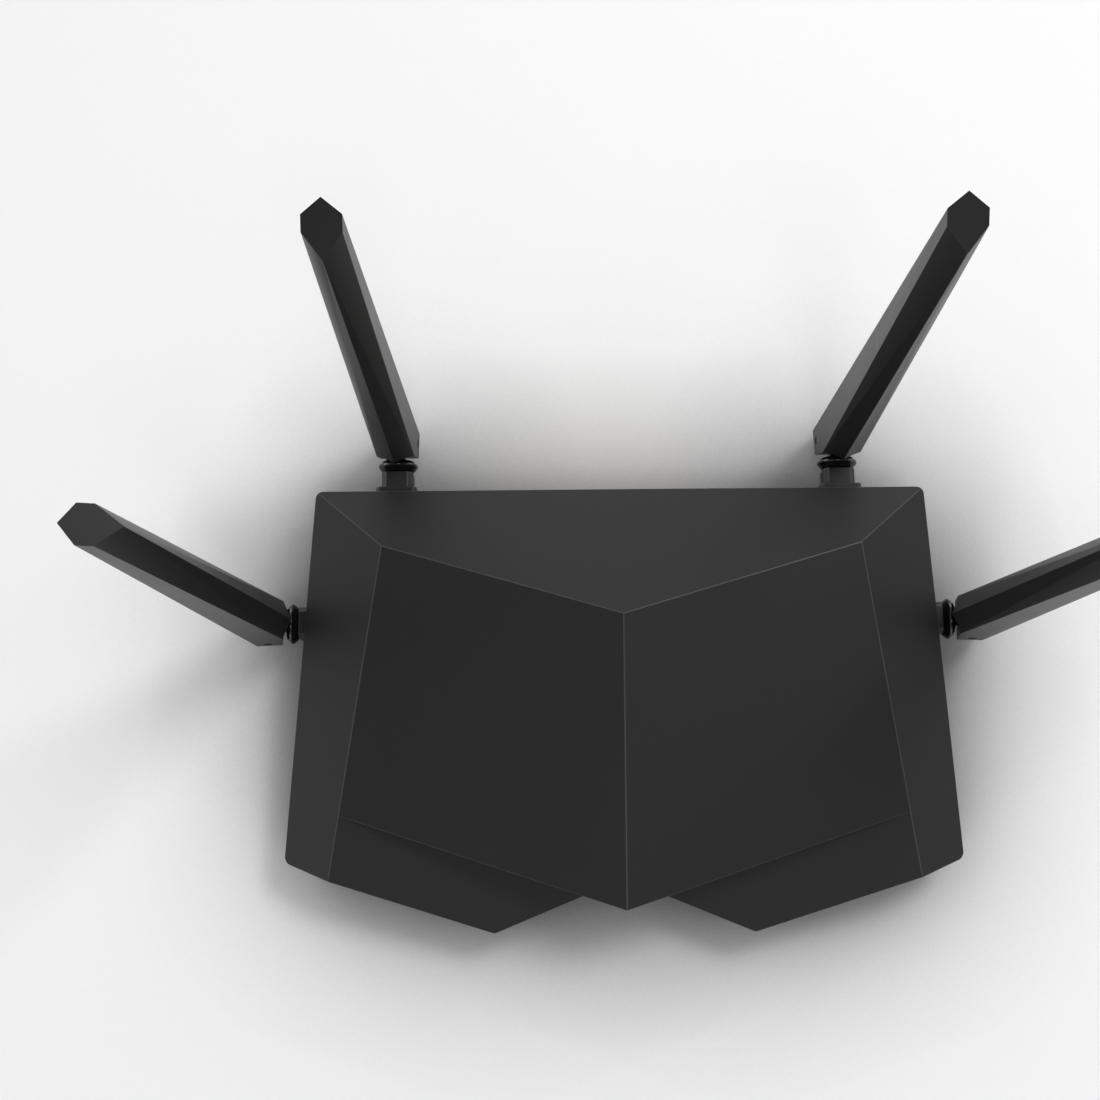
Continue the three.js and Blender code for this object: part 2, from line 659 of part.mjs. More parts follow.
// The fixed collar, in the case's own frame, so that its flange can follow the wall.
function makeCollar(antenna) {
  const inner = -spigotEnd(antenna);
  const flange = placed(chamferedBar(flangeWidth, flangeChamfer, inner, flangeEnd), antenna);
  const collar = placed(chamferedBar(collarWidth, collarChamfer, flangeEnd - fitGap, collarEnd), antenna);
  const spigot = placed(rod(spigotRadius, 'y', [inner, flangeEnd], point(0, 0, 0)), antenna);
  const bore = placed(rod(shaftRadius + fitGap, 'y', [inner - wall, 0], point(0, 0, 0)), antenna);
  return flange.add(collar).subtract(caseWithGap).add(spigot).subtract(bore);
}

// The turned part of the knuckle: snap head, shaft and disc, with a blind bore for the coaxial lead.
function makeSwivel(antenna) {
  const headEnd = -spigotEnd(antenna) - fitGap - snapLength;
  const bore = coaxRadius + fitGap;
  const face = discRadius - discChamfer;
  const bend = discRadius - discBend;
  const profile = [
    [0, discFront / 2], [bore, discFront / 2], [bore, headEnd], [snapRadius - snapChamfer, headEnd],
    [snapRadius, headEnd + snapLength - snapChamfer], [snapRadius, headEnd + snapLength],
    [shaftRadius, headEnd + snapLength], [shaftRadius, -discFront],
    [face, -discFront], [bend, -discFront + discBendDepth], [discRadius, -discFront + discChamfer],
    [discRadius, discFront - discChamfer], [bend, discFront - discBendDepth],
    [face, discFront], [0, discFront],
  ];
  const turned = new THREE.LatheGeometry(profile.map(([r, y]) => new THREE.Vector2(r, y)), roundSides);
  const root = discFront - discBendDepth;
  const tongue = new THREE.Shape();
  tongue.moveTo(root, -pinDrop - tongueRadius);
  tongue.lineTo(pinReach, -pinDrop - tongueRadius);
  tongue.absarc(pinReach, -pinDrop, tongueRadius, -Math.PI / 2, Math.PI / 2, false);
  tongue.lineTo(root, -pinDrop + tongueRadius);
  const sweep = { depth: tongueWidth, bevelEnabled: false, curveSegments: 8 };
  const geometry = new THREE.ExtrudeGeometry(tongue, sweep);
  geometry.translate(0, 0, -tongueWidth / 2).rotateX(Math.PI / 2).rotateZ(Math.PI / 2);
  const pinLine = point(0, pinReach, -pinDrop);
  const hole = rod(pinRadius + fitGap, 'x', [-tongueWidth, tongueWidth], pinLine, roundSides);
  return solidFrom(turned).add(solidFrom(geometry)).subtract(hole);
}

// The blade's planes, moved inwards by a distance, with the tilt pin at the origin: its two flat sides, four
// fronts that each fold along a line from the ridge's tip to the side's base, and its tip.
function bladePlanes(distance) {
  const middle = (key) => (bladeBase[key] + bladeTip[key]) / 2;
  const inside = point(0, middle('sideOuter') / 2, middle('height'));
  const planes = [];
  for (const side of sides) {
    const baseSide = point(side * bladeBase.halfWidth, 0, bladeBase.height);
    const tipSide = point(side * bladeTip.halfWidth, 0, bladeTip.height);
    planes.push(facet(baseSide, tipSide, baseSide.clone().setY(1), inside));
    for (const [ridge, edge] of [['innerRidge', 'sideInner'], ['outerRidge', 'sideOuter']]) {
      const low = point(0, bladeBase[ridge], bladeBase.height);
      const high = point(0, bladeTip[ridge], bladeTip.height);
      const lowSide = baseSide.clone().setY(bladeBase[edge]);
      const highSide = tipSide.clone().setY(bladeTip[edge]);
      planes.push(facet(low, high, lowSide, inside), facet(high, lowSide, highSide, inside));
    }
  }
  const tipPoint = point(0, 0, bladeLength);
  planes.push(facet(tipPoint, point(1, 0, bladeLength), point(0, 1, bladeLength + tipSlope), inside));
  return planes.map((plane) => inward(plane, distance));
}

// Under this plane the tip is hollow; above it, solid.
const tipFloor = inward(bladePlanes(0).at(-1), bladeEnd);

const underside = facet(
  point(0, heel.inner, heel.level),
  point(1, heel.inner, heel.level),
  point(0, heel.inner + 1, heel.level - heel.slope),
  point(0, 0, bladeLength / 2),
);
const discClear = discRadius + bladeClearance;
const tongueClear = tongueRadius + bladeClearance;

function makeBlade() {
  const everywhere = [-farAway / 4, farAway / 4];
  const block = box(everywhere, everywhere, [-farAway / 8, farAway / 2]);
  const outer = trim(block, [...bladePlanes(0), underside]);
  const browEdge = point(0, brow.outer, brow.level);
  const heelEdge = point(0, heel.inner, heel.level);
  const underBrowPoint = point(0, brow.outer - 1, brow.level + brow.slope);
  const facingDisc = facet(browEdge, heelEdge, browEdge.clone().setX(1), point(0, farAway, 0));
  const underBrow = facet(browEdge, browEdge.clone().setX(1), underBrowPoint, point(0, 0, farAway));
  const discSpan = [-pinReach - 2 * discThickness, -pinReach + discFront + bladeClearance];
  const disc = rod(discClear, 'y', discSpan, point(0, 0, pinDrop), fineSides);
  const slotWidth = around(0, tongueWidth + 2 * bladeClearance);
  const slot = box(slotWidth, [-farAway / 4, tongueClear], [-farAway / 4, tongueClear]);
  const pinHole = rod(pinRadius + fitGap, 'x', everywhere, point(0, 0, 0), roundSides);
  const hollowBottom = new THREE.Plane(point(0, 0, -1), bladeHollowStart);
  const hollow = trim(block, [...bladePlanes(bladeWall).slice(0, -1), tipFloor, hollowBottom]);
  const cuts = [common([facingDisc, underBrow]), disc, slot, pinHole, hollow];
  return cuts.reduce((left, cut) => left.subtract(cut), outer);
}

// The joint between the two shells runs along the outer edges of the side facets, and under the tip.
function seamPlane(offset) {
  const low = point(0, bladeBase.sideOuter + offset, bladeBase.height);
  const high = point(0, bladeTip.sideOuter + offset, bladeTip.height);
  return facet(low, high, low.clone().setX(1), point(0, -farAway, 0));
}

const blade = makeBlade();
const frontShell = trim(blade, [seamPlane(0)]).add(blade.intersect(outside(tipFloor)));
const backShell = trim(blade, [seamPlane(fitGap).negate(), inward(tipFloor, fitGap)]);
const pinLength = around(0, 2 * (bladeBase.halfWidth - pinRecess));
const pinSolid = rod(pinRadius, 'x', pinLength, point(0, pinReach, -pinDrop), roundSides);
const radiator = box(
  around(0, radiatorWidth),
  around(radiatorPlace, radiatorThickness),
  [radiatorStart, radiatorStart + radiatorLength],
);

// The coaxial lead: from the knuckle's bore straight into the case, then down to its plug on the board.
function makeLead(antenna, [plugX, plugY]) {
  const upAxis = point(0, 0, 1);
  const outwards = point(0, 1, 0).applyAxisAngle(upAxis, THREE.MathUtils.degToRad(antenna.turn));
  const onAxis = (reach) => antenna.at.clone().addScaledVector(outwards, reach);
  const headEnd = -spigotEnd(antenna) - snapLength;
  const bend = onAxis(headEnd - leadStraight);
  const plugTop = point(plugX, plugY, partBase + plugHeight - coaxRadius / 2);
  const over = plugTop.clone().lerp(bend, 1 / 3).setZ(hingeHeight - 1);
  const aboveRun = plugTop.clone().lerp(over, 1 / 8).setZ(partBase + leadRise);
  const stops = [onAxis(0), onAxis(-spigotEnd(antenna) / 2), onAxis(headEnd), bend, over, aboveRun, plugTop];
  const route = new THREE.CatmullRomCurve3(stops, false, 'centripetal');
  const section = new THREE.Shape();
  section.absarc(0, 0, coaxRadius, 0, 2 * Math.PI, false);
  const steps = Math.ceil(route.getLength() / (5 * coaxRadius));
  const sweep = { steps, extrudePath: route, bevelEnabled: false, curveSegments: 4 };
  const tube = solidFrom(new THREE.ExtrudeGeometry(section, sweep));
  const plug = rod(plugRadius, 'z', [partBase, partBase + plugHeight], point(plugX, plugY, 0), smallSides);
  return tube.add(plug);
}

// ---------------------------------------------------------------- assembly
const router = new THREE.Group();
router.add(piece('top_cover', makeCover(), 'cover'));
router.add(piece('bottom_case', makeCase(), 'case'));
for (const side of sides) {
  const name = side === 1 ? 'status_window_right' : 'status_window_left';
  router.add(piece(name, windowSolid(side, 0, -windowRecess, -wall - windowBehind), 'window'));
}

router.add(piece('circuit_board', makeBoard(), 'board'));
router.add(piece('cpu_shield', blockOnBoard(cpuPlace, cpuSize), 'shield'));
router.add(piece('radio_shield_left', blockOnBoard([-radioPlace[0], radioPlace[1]], radioSize), 'shield'));
router.add(piece('radio_shield_right', blockOnBoard(radioPlace, radioSize), 'shield'));
router.add(piece('heat_sink', makeHeatSink(), 'heatSink'));

for (const name of jackNames) {
  router.add(piece(name, makeJack(portPlaces[name]), name === 'wan_jack' ? 'wanJack' : 'lanJack'));
}
router.add(piece('dc_jack', makeInlet(portPlaces.dc_jack), 'darkPart'));
[['lan_transformer_1', 'wan_jack'], ['lan_transformer_2', 'lan_jack_2']].forEach(([name, port]) => {
  router.add(piece(name, blockOnBoard([portPlaces[port], transformerY], transformerSize), 'darkPart'));
});
const capacitorY = portFace - inletDepth - capacitorGap - capacitorRadius;
const capacitorPlace = point(portPlaces.dc_jack, capacitorY, 0);
const capacitorSpan = [partBase, partBase + capacitorHeight];
router.add(piece(
  'filter_capacitor',
  rod(capacitorRadius, 'z', capacitorSpan, capacitorPlace, roundSides),
  'steel',
));
for (const name of ['reset', 'wifi']) {
  const x = portPlaces[`${name}_button`];
  router.add(piece(`${name}_button`, makeButton(x), 'darkPart'));
  router.add(piece(`${name}_switch`, makeSwitch(x), 'darkPart'));
}

footPlaces.forEach((place, i) => {
  const foot = rod(footRadius, 'z', [0, footHeight + footRecess - fitGap], place, roundSides);
  router.add(piece(footNames[i], foot, 'rubber'));
});
bossPlaces.forEach((place, i) => {
  const headTop = footHeight + screwHeadHeight / 2 - fitGap;
  const head = rod(screwHeadRadius, 'z', [headTop - screwHeadHeight, headTop], place, smallSides);
  const shank = rod(screwRadius, 'z', [headTop - fitGap, footHeight + screwLength], place, smallSides);
  router.add(piece(screwNames[i], head.add(shank), 'steel'));
});
const labelTop = footHeight - fitGap;
router.add(piece(
  'rating_label',
  box(around(0, labelWidth), around(0, labelDepth), [labelTop - labelThickness, labelTop]),
  'label',
));

for (const antenna of antennas) {
  const { name, at, turn } = antenna;
  const side = Math.sign(at.x);
  const plugX = side * leadPlugX;
  const plugY = radioPlace[1] + (turn ? -1 : 1) * radioSize[1] / 4;
  router.add(piece(`collar_${name}`, makeCollar(antenna), 'case'));
  router.add(piece(`coax_${name}`, makeLead(antenna, [plugX, plugY]), 'coax'));

  const knuckle = new THREE.Group();
  knuckle.position.copy(at);
  knuckle.rotation.z = THREE.MathUtils.degToRad(turn);
  knuckle.add(piece(`swivel_${name}`, makeSwivel(antenna), 'gloss'));
  knuckle.add(piece(`tilt_pin_${name}`, pinSolid, 'steel'));

  const upright = new THREE.Group();
  upright.position.set(0, pinReach, -pinDrop);
  upright.rotation.x = -THREE.MathUtils.degToRad(lean);
  upright.add(piece(`blade_front_${name}`, frontShell, 'antenna'));
  upright.add(piece(`blade_back_${name}`, backShell, 'antenna'));
  upright.add(piece(`radiator_${name}`, radiator, 'board'));
  knuckle.add(upright);
  router.add(knuckle);
}

// The origin goes to the middle of the bottom of the bounding box.
const bounds = new THREE.Box3().setFromObject(router, true);
router.position.set(-(bounds.min.x + bounds.max.x) / 2, -(bounds.min.y + bounds.max.y) / 2, -bounds.min.z);

export default router;
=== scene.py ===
# Wireless router with four folding antennas: the finished look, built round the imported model.
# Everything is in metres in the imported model's own frame; the dictionaries below are in millimetres.

import json
import math

import bmesh
import bpy
import numpy as np
from mathutils import Euler, Matrix, Vector

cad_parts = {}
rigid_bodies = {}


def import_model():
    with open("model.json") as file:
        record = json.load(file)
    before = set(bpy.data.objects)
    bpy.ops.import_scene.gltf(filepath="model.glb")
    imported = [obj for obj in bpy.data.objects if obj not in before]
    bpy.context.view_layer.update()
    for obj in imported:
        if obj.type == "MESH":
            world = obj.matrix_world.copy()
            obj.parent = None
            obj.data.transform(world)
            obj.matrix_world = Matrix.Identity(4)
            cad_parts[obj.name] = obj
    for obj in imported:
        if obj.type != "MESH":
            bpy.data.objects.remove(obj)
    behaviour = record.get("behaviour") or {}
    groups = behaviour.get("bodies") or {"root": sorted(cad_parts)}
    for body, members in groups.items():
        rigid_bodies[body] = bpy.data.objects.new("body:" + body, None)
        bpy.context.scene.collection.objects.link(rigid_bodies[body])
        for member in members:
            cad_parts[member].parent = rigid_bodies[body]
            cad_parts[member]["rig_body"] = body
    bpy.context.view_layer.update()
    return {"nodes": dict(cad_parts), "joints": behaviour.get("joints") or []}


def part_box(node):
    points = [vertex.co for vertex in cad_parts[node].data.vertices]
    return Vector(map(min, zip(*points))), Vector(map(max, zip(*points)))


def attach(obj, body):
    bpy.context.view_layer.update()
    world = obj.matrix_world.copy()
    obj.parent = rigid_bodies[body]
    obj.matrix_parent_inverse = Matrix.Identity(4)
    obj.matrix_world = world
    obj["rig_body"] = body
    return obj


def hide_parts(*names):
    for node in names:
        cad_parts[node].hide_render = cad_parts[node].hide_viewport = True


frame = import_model()
mm = 0.001
nodes = frame["nodes"]
scene = bpy.context.scene
antennas = ("rear_left", "rear_right", "side_left", "side_right")
print("frame loaded,", len(nodes), "nodes")


# ---- camera, nearly straight down from above the front of the case
cameraSetup = {"place": (-20.86, -54.15, 527.48), "turn": (10.104, 0.333, -0.445), "lens": 50.45, "sensor": 36}


def makeCamera(setup):
    data = bpy.data.cameras.new("aboveCamera")
    data.sensor_width = setup["sensor"]
    data.lens = setup["lens"]
    data.clip_start = 0.01
    camera = bpy.data.objects.new("aboveCamera", data)
    camera.location = Vector(setup["place"]) * mm
    camera.rotation_euler = Euler([math.radians(a) for a in setup["turn"]])
    scene.collection.objects.link(camera)
    scene.camera = camera


makeCamera(cameraSetup)


# ---- shader sockets that take plain arithmetic
class Wire:
    def __init__(self, tree, socket=None):
        self.tree = tree
        self.socket = socket

    # any node: its settings first, then values or links for its sockets
    def node(self, kind, settings=None, sockets=None, out=0):
        made = self.tree.nodes.new(kind)
        for name, value in (settings or {}).items():
            if name == "stops":
                ramp = made.color_ramp.elements
                while len(ramp) < len(value):
                    ramp.new(0.5)
                for stop, (where, shade) in zip(ramp, value):
                    stop.position = where
                    stop.color = (shade, shade, shade, 1)
            else:
                setattr(made, name, value)
        for name, value in (sockets or {}).items():
            if isinstance(value, Wire):
                self.tree.links.new(value.socket, made.inputs[name])
            else:
                made.inputs[name].default_value = value
        return Wire(self.tree, made.outputs[out]) if len(made.outputs) else Wire(self.tree)

    def maths(self, operation, first, second=0.0):
        return self.node("ShaderNodeMath", {"operation": operation}, {0: first, 1: second})

    def __add__(self, other):
        return self.maths("ADD", self, other)

    __radd__ = __add__

    def __sub__(self, other):
        return self.maths("SUBTRACT", self, other)

    def __rsub__(self, other):
        return self.maths("SUBTRACT", other, self)

    def __mul__(self, other):
        return self.maths("MULTIPLY", self, other)

    __rmul__ = __mul__

    def __pow__(self, other):
        return self.maths("POWER", self, other)

    def over(self, level):
        return self.maths("GREATER_THAN", self, level)

    def clipped(self):
        return self.node("ShaderNodeClamp", {}, {"Value": self})

    # a smooth step from 0 at low to 1 at high
    def rising(self, low, high):
        return self.node("ShaderNodeMapRange", {"interpolation_type": "SMOOTHSTEP"},
                         {"Value": self, "From Min": low, "From Max": high})

    # this value picks between two colours
    def blendOf(self, first, second):
        return self.node("ShaderNodeMix", {"data_type": "RGBA"}, {0: self, 6: first, 7: second}, out=2)

    # the three coordinates of a vector, each as its own wire
    def axes(self):
        split = self.node("ShaderNodeSeparateXYZ", {}, {"Vector": self}).socket.node
        return [Wire(self.tree, split.outputs[axis]) for axis in "XYZ"]


def rgb(*shade):
    return (*shade, 1) if len(shade) == 3 else (shade[0], shade[0], shade[0], 1)


def startMaterial(name):
    material = bpy.data.materials.new(name)
    material.use_nodes = True
    material.node_tree.nodes.clear()
    start = Wire(material.node_tree)
    place = start.node("ShaderNodeTexCoord", out="Object")
    return material, start, place


def noiseOf(start, place, size, detail=2.0, roughness=0.5, stretch=None):
    if stretch:
        place = start.node("ShaderNodeMapping", {}, {"Vector": place, "Scale": stretch})
    return start.node("ShaderNodeTexNoise", {}, {"Vector": place, "Scale": 1 / (size * mm), "Detail": detail,
                                                 "Roughness": roughness})


def bumpOf(start, height, depth, strength=1.0):
    return start.node("ShaderNodeBump", {}, {"Height": height, "Distance": depth * mm, "Strength": strength})


def finishMaterial(start, sockets):
    shader = start.node("ShaderNodeBsdfPrincipled", {}, sockets)
    start.node("ShaderNodeOutputMaterial", {}, {"Surface": shader})


# What all moulded plastics share: pits among the grain, and long faint rub marks that shine a little.
mouldShared = {"pitSpacing": 1.7, "pitShare": 0.4, "specks": (0.35, 0.75), "grainDull": 0.06,
               "rubSize": 9, "rubStretch": (1, 0.12, 1), "rubs": (0.62, 0.8), "rubShine": 0.05}


# Moulded plastic: fine eroded grain, slow patches of gloss, faint rub marks, and smoother rounded edges with a painted
# highlight.
def mouldedPlastic(name, look):
    material, start, place = startMaterial(name)
    m = mouldShared
    grain = noiseOf(start, place, look["grain"], detail=3.0, roughness=0.65)
    pits = start.node("ShaderNodeTexVoronoi", {"feature": "F1"},
                      {"Vector": place, "Scale": 1 / (look["grain"] * mm * m["pitSpacing"])})
    patches = noiseOf(start, place, look["patches"], detail=3.0, roughness=0.55)
    rubs = noiseOf(start, place, m["rubSize"], 4.0, 0.6, m["rubStretch"]).rising(*m["rubs"])
    edge = start.node("ShaderNodeAttribute", {"attribute_name": "crease"}, out="Fac")
    height = grain * (1 - m["pitShare"]) + pits * m["pitShare"]
    tone = patches.blendOf(rgb(*look["dark"]), rgb(*look["light"]))
    speckled = (height.rising(*m["specks"]) * look["speckle"]).blendOf(tone, rgb(*look["edge"]))
    # painted highlight: the bevelled strips take the light edge colour, standing in for light caught along the rounded
    # creases
    colour = (edge * look["edgeHighlightShare"]).blendOf(speckled, rgb(*look["edge"]))
    roughness = look["roughness"] + (patches - 0.5) * look["spread"] + grain * m["grainDull"]
    roughness = roughness - rubs * m["rubShine"] - edge * look["polish"]
    finishMaterial(start, {"Base Color": colour, "Roughness": roughness.clipped(),
                           "Normal": bumpOf(start, height, look["depth"]), "Specular IOR Level": look["shine"]})
    return material


# Metal: brushed along one direction, with a slow change of gloss and a few dull spots.
def brushedMetal(name, look):
    material, start, place = startMaterial(name)
    brushed = noiseOf(start, place, look["grain"], 4.0, 0.6, look["along"])
    dull = noiseOf(start, place, look["patches"], detail=3.0, roughness=0.6)
    colour = (dull * 0.5 + brushed * 0.5).blendOf(rgb(*look["dark"]), rgb(*look["light"]))
    roughness = look["roughness"] + (dull - 0.5) * look["spread"] + (brushed - 0.5) * 0.1
    finishMaterial(start, {"Base Color": colour, "Roughness": roughness.clipped(), "Metallic": 1.0,
                           "Normal": bumpOf(start, brushed, look["depth"])})
    return material


# Circuit board: solder mask over a maze of traces, with bright pads scattered on a grid.
def boardMaterial(name, look):
    material, start, place = startMaterial(name)
    cells = start.node("ShaderNodeTexVoronoi", {"feature": "DISTANCE_TO_EDGE", "distance": "EUCLIDEAN"},
                       {"Vector": place, "Scale": 1 / (look["trace"] * mm)})
    traces = 1 - cells.rising(*look["traceEdge"])
    pads = start.node("ShaderNodeTexVoronoi", {"feature": "F1", "distance": "CHEBYCHEV"},
                      {"Vector": place, "Scale": 1 / (look["pad"] * mm), "Randomness": look["scatter"]})
    bare = 1 - pads.rising(*look["padEdge"])
    cloudy = noiseOf(start, place, look["cloud"])
    mask = (cloudy * 0.4 + traces * 0.6).blendOf(rgb(*look["dark"]), rgb(*look["light"]))
    colour = bare.blendOf(mask, rgb(*look["tin"]))
    finishMaterial(start, {"Base Color": colour, "Roughness": look["roughness"] + bare * 0.1 + cloudy * 0.1,
                           "Metallic": bare * look["metal"], "Normal": bumpOf(start, traces + bare, look["depth"])})
    return material


# Blank printed film: a thin border line and ruled rows in one half of it, in its own flat coordinates.
def labelMaterial(name, look, low, high):
    material, start, place = startMaterial(name)
    middle = (low + high) / 2
    half = (high - low) / 2
    x, y, _ = place.axes()
    across = x - middle.x
    along = y - middle.y
    fromEdgeX = half.x - across.maths("ABSOLUTE", across)
    fromEdgeY = half.y - along.maths("ABSOLUTE", along)
    fromEdge = fromEdgeX.maths("MINIMUM", fromEdgeX, fromEdgeY)
    line = fromEdge.over(look["margin"] * mm) * (1 - fromEdge.over((look["margin"] + look["line"]) * mm))
    rows = along.maths("PINGPONG", along + half.y, look["row"] * mm)
    ruled = (1 - rows.over(look["line"] * mm)) * fromEdge.over(look["margin"] * 2 * mm) * across.over(0.0)
    ink = line.maths("MAXIMUM", line, ruled)
    fibre = noiseOf(start, place, look["fibre"], detail=3.0)
    paper = fibre.blendOf(rgb(*look["dark"]), rgb(*look["light"]))
    colour = (ink * look["inkCover"]).blendOf(paper, rgb(*look["ink"]))
    finishMaterial(start, {"Base Color": colour, "Roughness": look["roughness"] + fibre * look["spread"],
                           "Normal": bumpOf(start, fibre, look["depth"], look["strength"])})
    return material


# In each plastic, edge is the colour of the light specks in the grain and of the painted highlight on the rounded
# edges; its share is how much of it those edges take.
plasticLooks = {
    "cover": {"grain": 0.24, "depth": 0.012, "patches": 70, "dark": (0.0086, 0.0086, 0.0089),
              "light": (0.0105, 0.0105, 0.0108), "edge": (0.07, 0.07, 0.071), "edgeHighlightShare": 0.55, "speckle": 0.04,
              "roughness": 0.45, "spread": 0.08, "polish": 0.1, "shine": 0.3},
    "case": {"grain": 0.26, "depth": 0.016, "patches": 55, "dark": (0.0105, 0.0105, 0.0108),
             "light": (0.0132, 0.0132, 0.0134), "edge": (0.05, 0.05, 0.051), "edgeHighlightShare": 0.4, "speckle": 0.04,
             "roughness": 0.5, "spread": 0.08, "polish": 0.1, "shine": 0.3},
    "antenna": {"grain": 0.2, "depth": 0.006, "patches": 40, "dark": (0.007, 0.007, 0.0072),
                "light": (0.0088, 0.0088, 0.009), "edge": (0.06, 0.06, 0.061), "edgeHighlightShare": 0.6, "speckle": 0.03,
                "roughness": 0.36, "spread": 0.07, "polish": 0.08, "shine": 0.3},
    "knuckleGloss": {"grain": 0.5, "depth": 0.002, "patches": 9, "dark": (0.0035, 0.0035, 0.0037),
                     "light": (0.0048, 0.0048, 0.005), "edge": (0.012, 0.012, 0.012), "edgeHighlightShare": 0.2,
                     "speckle": 0.0, "roughness": 0.12, "spread": 0.08, "polish": 0.0, "shine": 0.5},
    "footRubber": {"grain": 0.18, "depth": 0.02, "patches": 7, "dark": (0.009, 0.009, 0.009),
                   "light": (0.016, 0.016, 0.016), "edge": (0.05, 0.05, 0.05), "edgeHighlightShare": 0.3, "speckle": 0.12,
                   "roughness": 0.78, "spread": 0.14, "polish": 0.06, "shine": 0.4},
    "darkMould": {"grain": 0.15, "depth": 0.006, "patches": 12, "dark": (0.009, 0.009, 0.0095),
                  "light": (0.013, 0.013, 0.0135), "edge": (0.05, 0.05, 0.05), "edgeHighlightShare": 0.3, "speckle": 0.03,
                  "roughness": 0.42, "spread": 0.1, "polish": 0.06, "shine": 0.5},
    "wanMould": {"grain": 0.2, "depth": 0.005, "patches": 10, "dark": (0.016, 0.1, 0.33),
                 "light": (0.022, 0.125, 0.4), "edge": (0.1, 0.25, 0.55), "edgeHighlightShare": 0.5, "speckle": 0.05,
                 "roughness": 0.36, "spread": 0.1, "polish": 0.05, "shine": 0.5},
    "lanMould": {"grain": 0.2, "depth": 0.005, "patches": 10, "dark": (0.62, 0.39, 0.024),
                 "light": (0.7, 0.46, 0.035), "edge": (0.85, 0.62, 0.15), "edgeHighlightShare": 0.5, "speckle": 0.05,
                 "roughness": 0.36, "spread": 0.1, "polish": 0.05, "shine": 0.5},
    "leadJacket": {"grain": 0.3, "depth": 0.004, "patches": 6, "dark": (0.022, 0.022, 0.024),
                   "light": (0.032, 0.032, 0.034), "edge": (0.06, 0.06, 0.06), "edgeHighlightShare": 0.2, "speckle": 0.05,
                   "roughness": 0.4, "spread": 0.1, "polish": 0.0, "shine": 0.5},
    "windowFrost": {"grain": 0.12, "depth": 0.006, "patches": 5, "dark": (0.5, 0.53, 0.55),
                    "light": (0.6, 0.63, 0.65), "edge": (0.75, 0.78, 0.8), "edgeHighlightShare": 0.5, "speckle": 0.1,
                    "roughness": 0.3, "spread": 0.1, "polish": 0.05, "shine": 0.5},
}
metalLooks = {
    "pinBlack": {"grain": 0.2, "along": (0.2, 1, 1), "patches": 2, "depth": 0.003, "dark": (0.03, 0.03, 0.032),
                 "light": (0.06, 0.06, 0.063), "roughness": 0.35, "spread": 0.2},
    "shieldTin": {"grain": 0.25, "along": (0.06, 1, 1), "patches": 9, "depth": 0.004, "dark": (0.5, 0.51, 0.52),
                  "light": (0.64, 0.65, 0.66), "roughness": 0.33, "spread": 0.16},
    "sinkAluminium": {"grain": 0.2, "along": (1, 0.08, 1), "patches": 8, "depth": 0.006, "dark": (0.36, 0.37, 0.38),
                      "light": (0.48, 0.49, 0.5), "roughness": 0.42, "spread": 0.12},
    "zincSteel": {"grain": 0.3, "along": (1, 1, 0.2), "patches": 2.5, "depth": 0.004, "dark": (0.42, 0.42, 0.43),
                  "light": (0.58, 0.58, 0.58), "roughness": 0.3, "spread": 0.18},
    "contactGold": {"grain": 0.2, "along": (1, 0.2, 1), "patches": 2, "depth": 0.002, "dark": (0.65, 0.42, 0.12),
                    "light": (0.8, 0.55, 0.2), "roughness": 0.22, "spread": 0.1},
}
materials = {name: mouldedPlastic(name, look) for name, look in plasticLooks.items()}
materials.update({name: brushedMetal(name, look) for name, look in metalLooks.items()})
boardLook = {"trace": 3.2, "traceEdge": (0.06, 0.12), "pad": 2.4, "padEdge": (0.16, 0.2), "scatter": 0.35,
             "cloud": 14, "depth": 0.03, "roughness": 0.36, "metal": 0.9,
             "dark": (0.006, 0.055, 0.018), "light": (0.012, 0.1, 0.034), "tin": (0.6, 0.58, 0.5)}
labelLook = {"margin": 1.2, "line": 0.25, "row": 3.6, "fibre": 0.4, "depth": 0.01, "strength": 0.6,
             "roughness": 0.42, "spread": 0.12, "inkCover": 0.85,
             "ink": (0.06, 0.06, 0.06), "dark": (0.6, 0.6, 0.58), "light": (0.68, 0.68, 0.66)}
materials["solderMask"] = boardMaterial("solderMask", boardLook)
materials["labelFilm"] = labelMaterial("labelFilm", labelLook, *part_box("rating_label"))
print("materials mixed:", len(materials))


# ---- common mesh work
def bodyOf(node):
    return nodes[node]["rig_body"]


def paint(obj, material):
    obj.data.materials.clear()
    obj.data.materials.append(materials[material])


# The usual last steps of a piece: linked, painted, riding on its body, and the CAD parts it replaces hidden.
def fitPiece(obj, material, body, replaced=()):
    scene.collection.objects.link(obj)
    paint(obj, material)
    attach(obj, body)
    if replaced:
        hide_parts(*replaced)


# Round light everywhere except across edges that turn by more than the sharp angle; faces point outwards.
def shadeSmooth(work, sharp):
    bmesh.ops.recalc_face_normals(work, faces=work.faces)
    for face in work.faces:
        face.smooth = True
    for edge in work.edges:
        edge.smooth = edge.calc_face_angle(math.pi) < math.radians(sharp)


# Even light on flat faces, round light on small ones: normals follow the larger faces.
def weighNormals(obj):
    weigh = obj.modifiers.new("evenFaces", "WEIGHTED_NORMAL")
    weigh.keep_sharp = True
    weigh.weight = 80
    return obj


weldGap = 0.0005  # points closer than this are one, in a grid; twice this in a CAD solid
# How a CAD solid is softened where its own look says nothing else. Angles are in degrees: an edge is rounded above
# flat, shaded smooth below sharp, and left as it is below strip when it stands upright. Each round is (radius,
# shortest edge). fullWidth keeps the radius on edges longer than fullFrom, even where two rounded strips meet.
softLook = {"segments": 3, "flat": 7, "sharp": 38, "strip": 35, "upright": 0.85, "joinFlats": True, "joinAngle": 0.3,
            "fullWidth": False, "fullFrom": 5}
